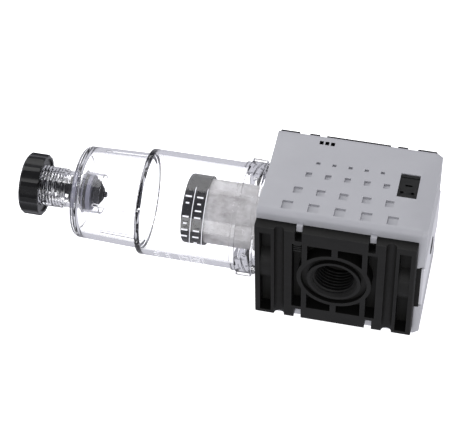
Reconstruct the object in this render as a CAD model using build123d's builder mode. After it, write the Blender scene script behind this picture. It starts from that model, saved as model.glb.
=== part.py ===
"""Compressed-air filter module: housing, filter element, bayonet bowl and screw-operated drain.

The module lies on its back cover. X runs along the bowl axis, from the drain knob (-X) to the top cap
(+X). Y runs through the two ports, inlet at +Y and outlet at -Y. Z is up, out of the front cover. The
origin is on the resting face, straight below the point where the bowl axis meets the port axis.
"""

import math
import os

from build123d import *

# ---------------------------------------------------------------- driving dimensions, millimetres

# Body block
body_length = 75.4  # along X
lower_end = -body_length / 2  # the bowl, the drain and the filter stack are placed from here
port_to_port = 63.0  # along Y, over both port faces
flange_height = 61.5  # along Z, height of a port face
flange_thickness = 5.2  # along Y, port face to cover edge
cover_proud = 6.25  # front and back cover stand this far beyond the flange

# Covers
cover_wall = 2.4
cover_fillet = 3.0
end_wall = 3.3  # covers wrap over the +X end by this much
front_wall_low = 12.9  # lower edge of the front cover's end wall, above the bowl axis
rear_wall_high = -15.2  # upper edge of the rear cover's end wall, from the bowl axis
split_gap = 0.25
facet_width = 5.3  # widest part of the curved facet at each end of the front cover
facet_rise = 1.6
end_chamfer = 2.6
seat_gap = 0.15

# Cover tabs and the notches that they enter
notch_inner = 15.4
notch_outer = 18.8
notch_reach = 24.6  # from the bowl axis to the notch floor
tab_clearance = 0.3
front_tab_reach = 2.2
rear_tab_reach = 1.0
front_tab_depth = 2.6  # from the flange's edge down into the notch
rear_tab_depth = 5.8

# Grip pattern on the front cover: pitch along X, size along X and Y, place along Y
dot_rows = [
    (7.6, 1.9, 1.6, 7.2),
    (9.15, 2.9, 3.0, -0.7),
    (10.7, 4.0, 4.0, -11.1),
    (12.2, 5.0, 5.2, -21.0),
]
dots_per_row = 5
dot_depth = 1.0

# Window in the front cover, and the insert that snaps into it
window_x = 28.2
window_y = 1.6
window_length = 9.2
window_width = 14.8
window_recess = 0.8
window_clearance = 0.15

# Port face
recess_half_x = 20.0
recess_half_z = 22.6
recess_depth = 6.8
ring_radius = 17.6
seal_groove_outer = 15.7
seal_groove_inner = 12.7
seal_groove_depth = 2.3
thread_major_radius = 10.478  # G 1/2
thread_depth = 15.5
thread_lead_in = 0.9
bar_centre = 14.1
bar_width = 2.4
centre_rib_width = 2.8
clip_groove_x = 26.0
clip_groove_radius = 2.45
pocket_inner = 29.9
pocket_outer = 35.3
pocket_top = 26.9
pocket_bottom = -28.9
cam_radius = 12.2
cam_setback = 0.8
key_x = -17.5
key_size = 3.4
key_height = 5.0
key_ribs = 3

# Air passages
passage_radius = 7.5
riser_radius = 5.5
inlet_end = 9.5  # inlet passage stops this far from the bowl axis
inlet_drop_y = 14.5
inlet_drop_radius = 4.4

# Bowl socket in the body
socket_depth = 23.7
lip_depth = 3.8
lug_groove_depth = 5.0
bayonet_angle = 45.0
bayonet_lugs = 4
lug_arc = 30.0
slot_arc = 36.0
stop_clearance = 1.5  # degrees
spigot_length = 6.0
spigot_radius = 9.0

# Bowl
neck_radius = 22.6
neck_clearance = 0.3
neck_wall = 3.2
lug_height = 2.2
lug_radius = neck_radius + lug_height
lug_length = 4.2
lug_clearance = 0.3
collar_start = lower_end - 3.0
collar_step = lower_end - 11.3
collar_end = lower_end - 13.8
collar_height = 4.6
collar_radius = neck_radius + collar_height
collar_step_radius = collar_radius - 0.6
upper_radius = collar_step_radius - 0.7
shoulder_x = lower_end - 60.3
shoulder_drop = 2.5
lower_radius = upper_radius - shoulder_drop
bowl_bottom = lower_end - 93.6
bowl_draft = 1.0
bottom_radius = lower_radius - bowl_draft
bottom_corner = 3.4
bowl_wall = 2.4
shoulder_inner_x = lower_end - 57.8
grip_start = lower_end - 4.5
grip_end = lower_end - 11.3
grip_height = 1.2
grip_radius = collar_radius + grip_height
grip_width = 8.6
grip_angle = 40.0
inner_rib_angle = 147.6
inner_rib_width = 1.5
inner_rib_height = 2.0
inner_rib_start = lower_end - 82.3
inner_rib_end = lower_end - 59.8

# Drain boss of the bowl
boss_end = lower_end - 113.7
thread_crest = 9.85
thread_root = 8.95
thread_pitch = 1.5
thread_turns = 9
boss_bore = 7.0
boss_lip = 1.2
boss_lip_bore = 4.2
inner_boss_radius = 9.8
inner_boss_top = lower_end - 82.0
seat_bore = 8.8
floor_x = lower_end - 90.9
floor_corner = 3.0

# Drain parts
knob_length = 9.8
knob_end = lower_end - 121.3
knob_radius = 15.1
knob_clearance = 0.2
knob_web = 4.2
knob_dish = 1.4
knob_dish_radius = 7.5
flute_count = 12
flute_radius = 7.5
flute_depth = 0.8
stem_radius = 2.6
stem_fit = 0.08
stem_shoulder_radius = 3.8
stem_shoulder = 1.0
axial_play = 0.15
cone_gap = 1.2
cone_radius = 7.0
cone_height = 3.6
pin_radius = 1.4
pin_tip = lower_end - 80.3
seat_top = lower_end - 86.7
seat_bottom = lower_end - 92.5
seat_throat = 3.6
piston_top = lower_end - 93.7
piston_length = 4.2
piston_clearance = 0.3
spring_wire = 0.45
spring_radius = 5.2
spring_turns = 5
spring_gap = 0.05
clip_radius = 5.4
clip_thickness = 0.8
clip_slot = 1.8

# Filter element stack
element_radius = 15.7
element_inner = 10.6
element_end = lower_end - 32.3
core_wall = 1.0
core_clearance = 0.15
seal_thickness = 1.2
deflector_radius = 18.7
deflector_length = 6.5
deflector_hub = 10.8
deflector_rim = 1.3
vane_count = 12
vane_angle = 35.0
cap_end = lower_end - 39.6
cap_radius = 16.9
cap_rim = lower_end - 28.5
cap_corner = 1.5
cap_hub_radius = 3.6
cap_hub_height = 1.5
cap_clearance = 0.2
rod_radius = 2.0
rod_anchor = 16.0

# Top cap
top_cap_thickness = 1.2
top_cap_margin = 0.6
plug_radius = 4.4
plug_proud = 0.3
plug_depth = 2.5

edge_break = 0.4

# ---------------------------------------------------------------- derived places

axis_z = flange_height / 2 + cover_proud
depth_total = flange_height + 2 * cover_proud
body_end = body_length / 2
port_face = port_to_port / 2
core_half = port_face - flange_thickness
flange_half = flange_height / 2
cover_end = body_end + end_wall
socket_top = -body_end + socket_depth
socket_radius = neck_radius + neck_clearance
lug_bore = lug_radius + lug_clearance
spigot_end = socket_top - spigot_length
neck_end = spigot_end + 1.0
neck_inner = neck_radius - neck_wall
lug_high = -body_end + lip_depth + lug_groove_depth - (lug_groove_depth - lug_length) / 2
deflector_end = spigot_end - deflector_length
element_start = deflector_end - seal_thickness
body_end_high = front_wall_low - split_gap
body_end_low = rear_wall_high + split_gap

bowl_axis = Axis((0, 0, axis_z), (1, 0, 0))
profile_plane = Plane(origin=(0, 0, axis_z), x_dir=(1, 0, 0), z_dir=(0, -1, 0))
outlet_plane = Plane(origin=(0, -port_face, axis_z), x_dir=(1, 0, 0), z_dir=(0, -1, 0))

os.makedirs("parts", exist_ok=True)


def cross_plane(x):
    """A plane square to the bowl axis at x, with Y to the right and Z up."""
    return Plane(origin=(x, 0, axis_z), x_dir=(0, 1, 0), z_dir=(1, 0, 0))


def ring(x_low, x_high, inner, outer):
    """A plain ring on the bowl axis."""
    with BuildPart() as piece:
        with BuildSketch(cross_plane(x_low)):
            Circle(outer)
            if inner > 0:
                Circle(inner, mode=Mode.SUBTRACT)
        extrude(amount=x_high - x_low)
    return piece.part


def turned(points):
    """A solid turned about the bowl axis from an outline of (x, radius) points."""
    with BuildPart() as piece:
        with BuildSketch(profile_plane):
            with BuildLine():
                Polyline(*points, close=True)
            make_face()
        revolve(axis=bowl_axis)
    return piece.part


def sector(x_low, x_high, inner, outer, start, arc, count):
    """Equal ring sectors about the bowl axis; start and arc are angles from +Y towards +Z."""
    with BuildPart() as piece:
        with BuildSketch(cross_plane(x_low)):
            for index in range(count):
                first = start + index * 360 / count
                with BuildLine():
                    outside = CenterArc((0, 0), outer, first, arc)
                    inside = CenterArc((0, 0), inner, first, arc)
                    Line(outside @ 0, inside @ 0)
                    Line(outside @ 1, inside @ 1)
                make_face()
        extrude(amount=x_high - x_low)
    return piece.part


def finish(solid, name):
    """Label a finished piece and write it to its own file."""
    solid.label = name
    export_step(solid, f"parts/{name}.step")


# ---------------------------------------------------------------- body

# One port face's relief, cut from the outlet side and mirrored for the inlet
with BuildPart() as face_relief:
    with BuildSketch(outlet_plane):
        Rectangle(2 * recess_half_x, 2 * recess_half_z)
        Circle(ring_radius, mode=Mode.SUBTRACT)
        with Locations((-bar_centre, 0), (bar_centre, 0)):
            Rectangle(bar_width, 2 * recess_half_z, mode=Mode.SUBTRACT)
        Rectangle(centre_rib_width, 2 * recess_half_z, mode=Mode.SUBTRACT)
        with Locations((key_x, recess_half_z - key_height / 2)):
            Rectangle(key_size, key_height, mode=Mode.SUBTRACT)
    extrude(amount=-recess_depth)
    with BuildSketch(outlet_plane):
        Circle(seal_groove_outer)
        Circle(seal_groove_inner, mode=Mode.SUBTRACT)
    extrude(amount=-seal_groove_depth)
    with BuildSketch(outlet_plane):
        for side in (-1, 1):
            for level in (-1, 1):
                notch_middle = (notch_inner + notch_outer) / 2
                with Locations((side * notch_middle, level * (notch_reach + flange_half) / 2)):
                    Rectangle(notch_outer - notch_inner, flange_half - notch_reach)
    extrude(amount=-flange_thickness)
    with BuildSketch(Plane.XY.offset(cover_proud)):
        with Locations((-clip_groove_x, -port_face), (clip_groove_x, -port_face)):
            Circle(clip_groove_radius)
    extrude(amount=flange_height)
    pocket_middle = (pocket_inner + pocket_outer) / 2
    with BuildSketch(outlet_plane):
        with Locations(
            (-pocket_middle, (pocket_top + pocket_bottom) / 2),
            (pocket_middle, (pocket_top + pocket_bottom) / 2),
        ):
            Rectangle(pocket_outer - pocket_inner, pocket_top - pocket_bottom)
    extrude(amount=-recess_depth)
    with BuildSketch(Plane(origin=(-pocket_outer, 0, axis_z), x_dir=(0, 1, 0), z_dir=(1, 0, 0))):
        with Locations((-port_face + cam_setback + cam_radius, 0)):
            Circle(cam_radius)
    extrude(amount=pocket_outer - pocket_inner, mode=Mode.SUBTRACT)
    with BuildSketch(Plane(origin=(pocket_inner, 0, axis_z), x_dir=(0, 1, 0), z_dir=(1, 0, 0))):
        with Locations((-port_face + cam_setback + cam_radius, 0)):
            Circle(cam_radius)
    extrude(amount=pocket_outer - pocket_inner, mode=Mode.SUBTRACT)

# Grooves across the small key block in the corner of the recess
with BuildPart() as key_grooves:
    with BuildSketch(outlet_plane):
        key_pitch = key_height / (key_ribs + 1)
        for index in range(key_ribs):
            with Locations((key_x, recess_half_z - (index + 1) * key_pitch)):
                Rectangle(key_size + 1.0, key_pitch / 2)
    extrude(amount=-recess_depth / 4)

relief_mirror = mirror(face_relief.part, about=Plane.XZ)
key_mirror = mirror(key_grooves.part, about=Plane.XZ)
socket_bore = ring(-body_end - 1, socket_top, 0, socket_radius)
lug_groove = ring(-body_end + lip_depth, -body_end + lip_depth + lug_groove_depth, 0, lug_bore)
lug_slots = sector(
    -body_end - 1,
    -body_end + lip_depth + lug_groove_depth / 2,
    spigot_radius,
    lug_bore,
    bayonet_angle - slot_arc / 2,
    slot_arc,
    bayonet_lugs,
)
lug_stops = sector(
    -body_end + lip_depth,
    -body_end + lip_depth + lug_groove_depth,
    socket_radius,
    lug_bore + 1,
    lug_arc / 2 + stop_clearance,
    bayonet_angle - lug_arc - 2 * stop_clearance,
    bayonet_lugs,
)
spigot = ring(spigot_end, socket_top + 1, 0, spigot_radius)

with BuildPart() as body:
    with Locations((0, 0, axis_z)):
        Box(body_length, port_to_port, flange_height)
    chamfer(body.edges().filter_by(Axis.Z), edge_break)
    pad_height = cover_proud - cover_wall - seat_gap
    for level, start in ((1, flange_half), (-1, -flange_half)):
        with Locations((0, 0, axis_z + start + level * pad_height / 2)):
            Box(
                body_length - 2 * cover_wall - 2 * seat_gap,
                2 * (core_half - cover_fillet),
                pad_height,
            )
    # The +X end stands proud between the two covers' end walls
    top_cap_x = body_end + (end_wall - top_cap_thickness) / 2
    with Locations((top_cap_x, 0, axis_z + (body_end_high + body_end_low) / 2)):
        Box(end_wall - top_cap_thickness, 2 * core_half, body_end_high - body_end_low)
    add(face_relief.part, mode=Mode.SUBTRACT)
    add(relief_mirror, mode=Mode.SUBTRACT)
    add(key_grooves.part, mode=Mode.SUBTRACT)
    add(key_mirror, mode=Mode.SUBTRACT)
    # Threaded ports with a lead-in chamfer
    for side in (-1, 1):
        with BuildSketch(Plane(origin=(0, side * port_face, axis_z), x_dir=(1, 0, 0), z_dir=(0, side, 0))):
            Circle(thread_major_radius)
        extrude(amount=-thread_depth, mode=Mode.SUBTRACT)
        with BuildSketch(Plane(origin=(0, side * port_face, axis_z), x_dir=(1, 0, 0), z_dir=(0, side, 0))):
            Circle(thread_major_radius + thread_lead_in)
        extrude(amount=-thread_lead_in, taper=45, mode=Mode.SUBTRACT)
    # Outlet passage to the middle, inlet passage to the outer chamber
    with BuildSketch(Plane(origin=(0, -port_face, axis_z), x_dir=(1, 0, 0), z_dir=(0, -1, 0))):
        Circle(passage_radius)
    extrude(amount=-port_face, mode=Mode.SUBTRACT)
    with BuildSketch(Plane(origin=(0, port_face, axis_z), x_dir=(-1, 0, 0), z_dir=(0, 1, 0))):
        Circle(passage_radius)
    extrude(amount=-(port_face - inlet_end), mode=Mode.SUBTRACT)
    # Socket for the bowl, its bayonet groove and slots
    add(socket_bore, mode=Mode.SUBTRACT)
    add(lug_groove, mode=Mode.SUBTRACT)
    add(lug_slots, mode=Mode.SUBTRACT)
    add(lug_stops)
    add(spigot)
    with BuildSketch(cross_plane(spigot_end - 1)):
        Circle(riser_radius)
    extrude(amount=-spigot_end + 1, mode=Mode.SUBTRACT)
    with BuildSketch(cross_plane(socket_top - 1)):
        with Locations((inlet_drop_y, 0)):
            Circle(inlet_drop_radius)
    extrude(amount=-socket_top + 1, mode=Mode.SUBTRACT)
    # Tapped hole for the tie rod, and the recess for the top plug
    with BuildSketch(cross_plane(0)):
        Circle(rod_radius)
    extrude(amount=rod_anchor, mode=Mode.SUBTRACT)
    with BuildSketch(cross_plane(cover_end - top_cap_thickness - plug_depth)):
        Circle(plug_radius + window_clearance)
    extrude(amount=plug_depth + 1, mode=Mode.SUBTRACT)
finish(body.part, "body")

# ---------------------------------------------------------------- covers


def cover_shell(top):
    """A tray-shaped cover with an end wall; top is +1 for the front cover and -1 for the rear."""
    rim = axis_z + top * flange_half
    face = axis_z + top * (flange_half + cover_proud)
    wall_edge = axis_z + (front_wall_low if top > 0 else rear_wall_high)
    reach = front_tab_reach if top > 0 else rear_tab_reach
    tab_depth = front_tab_depth if top > 0 else rear_tab_depth
    middle_x = (cover_end - body_end) / 2
    with BuildPart() as shell:
        with Locations((middle_x, 0, (rim + face) / 2)):
            Box(body_end + cover_end, 2 * core_half, cover_proud)
        with Locations(((body_end + cover_end) / 2, 0, (wall_edge + face) / 2)):
            Box(end_wall, 2 * core_half, abs(face - wall_edge))
        long_edges = shell.edges().filter_by(Axis.X).group_by(Axis.Z)[-1 if top > 0 else 0]
        fillet(long_edges, cover_fillet)
        end_edges = shell.edges().filter_by(Axis.Y).group_by(Axis.X)[-1].sort_by(Axis.Z)
        chamfer(end_edges[-1 if top > 0 else 0], 1.4, end_chamfer)
        # Hollow that drops over the raised pad of the body
        with Locations((0, 0, (rim + face - top * cover_wall) / 2)):
            Box(
                body_length - 2 * cover_wall,
                2 * (core_half - cover_fillet) + 2 * seat_gap,
                cover_proud - cover_wall,
                mode=Mode.SUBTRACT,
            )
        # Tabs that enter the notches of the flanges
        for side in (-1, 1):
            for end in (-1, 1):
                with Locations(
                    (
                        end * (notch_inner + notch_outer) / 2,
                        side * (core_half - 1.0 + (reach + 1.0) / 2),
                        axis_z + top * (flange_half + 0.6),
                    )
                ):
                    Box(notch_outer - notch_inner - 2 * tab_clearance, reach + 1.0, 1.2)
                with Locations(
                    (
                        end * (notch_inner + notch_outer) / 2,
                        side * (core_half + tab_clearance / 2 + reach / 2),
                        axis_z + top * (flange_half - tab_depth / 2),
                    )
                ):
                    Box(notch_outer - notch_inner - 2 * tab_clearance, reach - tab_clearance, tab_depth)
    return shell


front_shell = cover_shell(1)
rear_shell = cover_shell(-1)

# Curved facets: an arc on the top face, swept down and outwards to each end
facet_angle = math.atan2(facet_rise, facet_width)
facet_cut_depth = facet_rise + 0.6
facets = []
for end, end_x in ((-1, -body_end), (1, cover_end - end_chamfer)):
    inner_x = end_x - end * facet_width
    far_x = end_x + end * 12
    with BuildPart() as facet:
        with BuildSketch(Plane.XY.offset(depth_total)):
            with BuildLine():
                ThreePointArc((end_x, -core_half), (inner_x, 0), (end_x, core_half))
                Polyline((end_x, core_half), (far_x, core_half), (far_x, -core_half), (end_x, -core_half))
            make_face()
        extrude(
            amount=facet_cut_depth / math.sin(facet_angle),
            dir=(end * math.cos(facet_angle), 0, -math.sin(facet_angle)),
        )
    facets.append(facet.part)

with BuildPart() as front_cover:
    add(front_shell.part)
    for cut in facets:
        add(cut, mode=Mode.SUBTRACT)
    # Grip pattern of blind recesses that grow towards the outlet side
    with BuildSketch(Plane.XY.offset(depth_total)):
        for pitch, size_x, size_y, place_y in dot_rows:
            for index in range(dots_per_row):
                with Locations(((index - (dots_per_row - 1) / 2) * pitch, place_y)):
                    Rectangle(size_x, size_y)
    extrude(amount=-dot_depth, mode=Mode.SUBTRACT)
    with BuildSketch(Plane.XY.offset(depth_total)):
        with Locations((window_x, window_y)):
            Rectangle(window_length, window_width)
    extrude(amount=-cover_wall, mode=Mode.SUBTRACT)
finish(front_cover.part, "front_cover")
finish(rear_shell.part, "rear_cover")

insert_top = depth_total - window_recess
with BuildPart() as window_insert:
    with BuildSketch(Plane.XY.offset(depth_total - cover_wall)):
        with Locations((window_x, window_y)):
            Rectangle(window_length - 2 * window_clearance, window_width - 2 * window_clearance)
    extrude(amount=cover_wall - window_recess)
    with BuildSketch(Plane.XY.offset(insert_top)):
        with Locations((window_x, window_y + 0.8)):
            Rectangle(3.4, 1.0)
        with Locations((window_x - 2.6, window_y - 3.8), (window_x + 2.4, window_y - 3.8)):
            Circle(0.8)
    extrude(amount=-0.9, mode=Mode.SUBTRACT)
    with BuildSketch(Plane.XY.offset(insert_top)):
        with Locations((window_x, window_y + window_width / 2 - 1.2)):
            Rectangle(window_length - 1.0, 1.2)
    extrude(amount=0.4)
finish(window_insert.part, "window_insert")

cap_low = body_end_low + top_cap_margin
cap_high = body_end_high - top_cap_margin
with BuildPart() as top_cap:
    with BuildSketch(cross_plane(cover_end - top_cap_thickness)):
        with Locations((0, (cap_low + cap_high) / 2)):
            RectangleRounded(2 * core_half - top_cap_margin, cap_high - cap_low, 1.5)
        Circle(plug_radius + window_clearance, mode=Mode.SUBTRACT)
    extrude(amount=top_cap_thickness + 0.4)
    chamfer(top_cap.faces().sort_by(Axis.X)[-1].edges(), edge_break)
finish(top_cap.part, "top_cap")

with BuildPart() as top_plug:
    with BuildSketch(cross_plane(cover_end - top_cap_thickness - plug_depth)):
        Circle(plug_radius)
    extrude(amount=plug_depth + top_cap_thickness + 0.4 + plug_proud)
    chamfer(top_plug.faces().sort_by(Axis.X)[-1].edges(), edge_break)
    with BuildSketch(Plane(top_plug.faces().sort_by(Axis.X)[-1])):
        RegularPolygon(1.6, 6)
    extrude(amount=-1.6, mode=Mode.SUBTRACT)
finish(top_plug.part, "top_plug")

# ---------------------------------------------------------------- filter element stack

deflector_plane = cross_plane((spigot_end + deflector_end) / 2)
vane_inner = deflector_hub - 0.4
vane_outer = deflector_radius - deflector_rim + 0.4
with BuildPart(deflector_plane) as deflector:
    with PolarLocations((vane_inner + vane_outer) / 2, vane_count):
        Box(vane_outer - vane_inner, 0.9, deflector_length + 1.0, rotation=(vane_angle, 0, 0))
    Cylinder(deflector_radius + 1, deflector_length, mode=Mode.INTERSECT)
    Cylinder(deflector_hub, deflector_length)
    Cylinder(spigot_radius - 1.2, deflector_length, mode=Mode.SUBTRACT)
    Cylinder(deflector_radius, deflector_length - 2.0)
    with PolarLocations((vane_inner + vane_outer) / 2, vane_count, start_angle=180 / vane_count):
        Cylinder(1.45, deflector_length, mode=Mode.SUBTRACT)
    Cylinder(spigot_radius - 1.2, deflector_length, mode=Mode.SUBTRACT)
finish(deflector.part, "deflector")

finish(ring(element_start, deflector_end, element_inner, element_radius - 1), "element_upper_seal")
finish(ring(element_end, element_start, element_inner, element_radius), "filter_element")

core_outer = element_inner - core_clearance
with BuildPart() as element_core:
    add(ring(element_end, element_start, core_outer - core_wall, core_outer))
    hole_rows = 5
    hole_pitch = (element_start - element_end) / (hole_rows + 1)
    for row in range(hole_rows):
        for turn in range(4):
            angle = turn * 45 + (row % 2) * 22.5
            direction = (0, math.cos(math.radians(angle)), math.sin(math.radians(angle)))
            place = (element_end + (row + 1) * hole_pitch, 0, axis_z)
            with BuildSketch(Plane(origin=place, x_dir=(1, 0, 0), z_dir=direction)):
                Circle(1.8)
            extrude(amount=core_outer + 1, both=True, mode=Mode.SUBTRACT)
finish(element_core.part, "element_core")

seal_low = element_end - seal_thickness
finish(ring(seal_low, element_end, element_inner - 2, element_radius), "element_lower_seal")

cup_radius = element_radius + cap_clearance
with BuildPart() as element_cap:
    with BuildSketch(profile_plane) as cap_profile:
        with BuildLine():
            Polyline(
                (cap_end, rod_radius),
                (cap_end, cap_radius),
                (cap_rim, cap_radius),
                (cap_rim, cup_radius),
                (seal_low, cup_radius),
                (seal_low, rod_radius),
                close=True,
            )
        make_face()
        rim_corner = cap_profile.vertices().filter_by(lambda v: v.X < cap_end + 0.1 and v.Y > cap_radius - 0.1)
        fillet(rim_corner, cap_corner)
    revolve(axis=bowl_axis)
    # Hub round the end of the tie rod
    add(ring(cap_end - cap_hub_height, cap_end + 0.1, rod_radius, cap_hub_radius))
finish(element_cap.part, "element_cap")
finish(ring(cap_end - cap_hub_height, rod_anchor, 0, rod_radius), "tie_rod")

# ---------------------------------------------------------------- bowl

oring_section = 3.0
oring_low = -body_end + lip_depth + lug_groove_depth + 3.0
oring_root = neck_radius - 1.7
neck_profile = [
    (neck_end, neck_inner),
    (neck_end, neck_radius),
    (oring_low + oring_section, neck_radius),
    (oring_low + oring_section, oring_root),
    (oring_low, oring_root),
    (oring_low, neck_radius),
    (collar_start, neck_radius),
]
outside_profile = [
    (collar_start, collar_radius),
    (collar_step, collar_radius),
    (collar_step, collar_step_radius),
    (collar_end, collar_step_radius),
    (collar_end, upper_radius),
    (shoulder_x, upper_radius),
    (shoulder_x, lower_radius),
    (bowl_bottom + bottom_corner, bottom_radius),
]
inside_profile = [
    (floor_x, inner_boss_radius),
    (floor_x, bottom_radius - bowl_wall - floor_corner),
    (floor_x + floor_corner, bottom_radius - bowl_wall),
    (shoulder_x, lower_radius - bowl_wall),
    (shoulder_inner_x, upper_radius - bowl_wall),
    (collar_end, upper_radius - bowl_wall),
    (collar_start - 4.0, neck_inner),
]
corner_centre = (bowl_bottom + bottom_corner, bottom_radius - bottom_corner)
corner_middle = (
    corner_centre[0] - bottom_corner * math.sqrt(0.5),
    corner_centre[1] + bottom_corner * math.sqrt(0.5),
)

with BuildPart() as bowl:
    with BuildSketch(profile_plane):
        with BuildLine():
            Polyline(*neck_profile, *outside_profile)
            ThreePointArc(outside_profile[-1], corner_middle, (bowl_bottom, corner_centre[1]))
            Polyline(
                (bowl_bottom, corner_centre[1]),
                (bowl_bottom, thread_root),
                (boss_end, thread_root),
                (boss_end, boss_lip_bore),
                (boss_end + boss_lip, boss_lip_bore),
                (boss_end + boss_lip, boss_bore),
                (seat_bottom, boss_bore),
                (seat_bottom, seat_bore + 0.1),
                (inner_boss_top, seat_bore + 0.1),
                (inner_boss_top, inner_boss_radius),
                *inside_profile,
                (neck_end, neck_inner),
            )
        make_face()
    revolve(axis=bowl_axis)
    # Rounded thread ridges on the drain boss
    with BuildSketch(profile_plane):
        for index in range(thread_turns):
            ridge_x = boss_end + (index + 0.75) * thread_pitch
            with BuildLine():
                Polyline(
                    (ridge_x - 0.42 * thread_pitch, thread_root - 0.2),
                    (ridge_x - 0.1 * thread_pitch, thread_crest),
                    (ridge_x + 0.1 * thread_pitch, thread_crest),
                    (ridge_x + 0.42 * thread_pitch, thread_root - 0.2),
                    close=True,
                )
            make_face()
    revolve(axis=bowl_axis)
    # Bayonet lugs on the neck
    lug_low = lug_high - lug_length
    add(sector(lug_low, lug_high, neck_radius - 1, lug_radius, -lug_arc / 2, lug_arc, bayonet_lugs))
    # Finger grips on the collar
    grip_arc = math.degrees(grip_width / grip_radius)
    add(sector(grip_end, grip_start, collar_radius - 1, grip_radius, grip_angle - grip_arc / 2, grip_arc, 4))
    # Ribs inside the lower bowl
    rib_arc = math.degrees(inner_rib_width / lower_radius)
    rib_root = bottom_radius - bowl_wall + 1.0
    add(
        sector(
            inner_rib_start,
            inner_rib_end,
            rib_root - inner_rib_height,
            rib_root,
            inner_rib_angle - rib_arc / 2,
            rib_arc,
            4,
        )
    )
finish(bowl.part, "bowl")
finish(ring(oring_low + 0.1, oring_low + oring_section - 0.1, oring_root, neck_radius + 0.12), "bowl_oring")

seat_points = [
    (seat_bottom, boss_bore + 0.2),
    (seat_bottom, seat_bore),
    (seat_top, seat_bore),
    (seat_top, seat_throat + 1.6),
    (seat_top - 1.4, seat_throat),
    (seat_bottom + 1.2, seat_throat),
    (seat_bottom + 1.2, boss_bore + 0.2),
]
groove_middle = (seat_top + seat_bottom) / 2
with BuildPart() as drain_seat:
    add(turned(seat_points))
    add(ring(groove_middle - 0.8, groove_middle + 0.8, seat_bore - 0.9, seat_bore + 1), mode=Mode.SUBTRACT)
finish(drain_seat.part, "drain_seat")
finish(ring(groove_middle - 0.7, groove_middle + 0.7, seat_bore - 0.9, seat_bore), "drain_seat_oring")

# ---------------------------------------------------------------- drain knob and stem

knob_back = knob_end + knob_length
knob_bore = thread_crest + knob_clearance
flute_place = knob_radius - flute_depth + flute_radius
with BuildPart() as drain_knob:
    with BuildSketch(cross_plane(knob_end)):
        Circle(knob_radius)
        with PolarLocations(flute_place, flute_count):
            Circle(flute_radius, mode=Mode.SUBTRACT)
    extrude(amount=knob_length)
    edge_ring = turned(
        [
            (knob_end, 0),
            (knob_end, knob_radius - 1.6),
            (knob_end + 1.3, knob_radius + 0.1),
            (knob_back - 0.5, knob_radius + 0.1),
            (knob_back, knob_radius - 0.5),
            (knob_back, 0),
        ]
    )
    add(edge_ring, mode=Mode.INTERSECT)
    with BuildSketch(cross_plane(knob_end + knob_web)):
        Circle(knob_bore)
    extrude(amount=knob_length, mode=Mode.SUBTRACT)
    with BuildSketch(cross_plane(knob_end - 1)):
        Circle(stem_radius + stem_fit)
    extrude(amount=knob_length, mode=Mode.SUBTRACT)
    # Shallow dish in the outer end, with the stem clip's seat
    with BuildSketch(cross_plane(knob_end)):
        Circle(knob_dish_radius)
    extrude(amount=knob_dish, mode=Mode.SUBTRACT)
    # Dished back face
    with BuildSketch(cross_plane(knob_back)):
        Circle(knob_radius - 2.0)
        Circle(knob_bore, mode=Mode.SUBTRACT)
    extrude(amount=-0.8, mode=Mode.SUBTRACT)
finish(drain_knob.part, "drain_knob")

cone_low = seat_top + cone_gap
cone_top = cone_low + cone_height
stem_low = knob_end + 0.2
clip_high = knob_end + knob_dish - axial_play
clip_low = clip_high - clip_thickness
shoulder_low = knob_end + knob_web + axial_play
piston_radius = boss_bore - piston_clearance
piston_low = piston_top - piston_length
groove_radius = stem_radius - 0.6
with BuildPart() as drain_stem:
    add(
        turned(
            [
                (stem_low, 0),
                (stem_low, stem_radius),
                (clip_low, stem_radius),
                (clip_low, groove_radius),
                (clip_high, groove_radius),
                (clip_high, stem_radius),
                (shoulder_low, stem_radius),
                (shoulder_low, stem_shoulder_radius),
                (shoulder_low + stem_shoulder, stem_shoulder_radius),
                (shoulder_low + stem_shoulder, stem_radius),
                (cone_low, stem_radius),
                (cone_low, pin_radius),
                (pin_tip, pin_radius),
                (pin_tip, 0),
            ]
        )
    )
finish(drain_stem.part, "drain_stem")

finish(
    turned(
        [
            (cone_low, pin_radius),
            (cone_low, cone_radius),
            (cone_low + 0.6, cone_radius),
            (cone_top, pin_radius + 1.6),
            (cone_top, pin_radius),
        ]
    ),
    "drain_cone",
)

piston_groove = (piston_top + piston_low) / 2
with BuildPart() as drain_piston:
    add(ring(piston_low, piston_top, stem_radius, piston_radius))
    groove = ring(piston_groove - 0.8, piston_groove + 0.8, piston_radius - 1.2, piston_radius + 1)
    add(groove, mode=Mode.SUBTRACT)
finish(drain_piston.part, "drain_piston")
finish(
    ring(piston_groove - 0.7, piston_groove + 0.7, piston_radius - 1.2, piston_radius + 0.15),
    "piston_oring",
)

# The clip snaps into the stem's groove and bears on the knob's dish
with BuildPart() as stem_clip:
    with BuildSketch(cross_plane(clip_low)):
        Circle(clip_radius)
        Circle(groove_radius, mode=Mode.SUBTRACT)
        with Locations((0, -clip_radius)):
            Rectangle(clip_slot, 2 * clip_radius, mode=Mode.SUBTRACT)
    extrude(amount=clip_high - clip_low)
finish(stem_clip.part, "stem_clip")

# Opening spring between the boss's lip and the piston
spring_low = boss_end + boss_lip + spring_gap
spring_high = piston_low - spring_gap
with BuildPart() as drain_spring:
    with BuildLine() as spring_path:
        Helix(
            pitch=(spring_high - spring_low - 2 * spring_wire) / spring_turns,
            height=spring_high - spring_low - 2 * spring_wire,
            radius=spring_radius,
            center=(spring_low + spring_wire, 0, axis_z),
            direction=(1, 0, 0),
        )
    with BuildSketch(Plane(origin=spring_path.line @ 0, z_dir=spring_path.line % 0)):
        Circle(spring_wire)
    sweep(path=spring_path.line)
finish(drain_spring.part, "drain_spring")
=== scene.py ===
"""Compressed-air filter module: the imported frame, dressed with finished meshes, materials and studio light."""
import logging
import math
from contextlib import contextmanager
from dataclasses import dataclass
from enum import Enum
from typing import Callable, Dict, Iterator, List, Sequence, Tuple

import bpy
from mathutils import Matrix, Vector, noise


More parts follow.
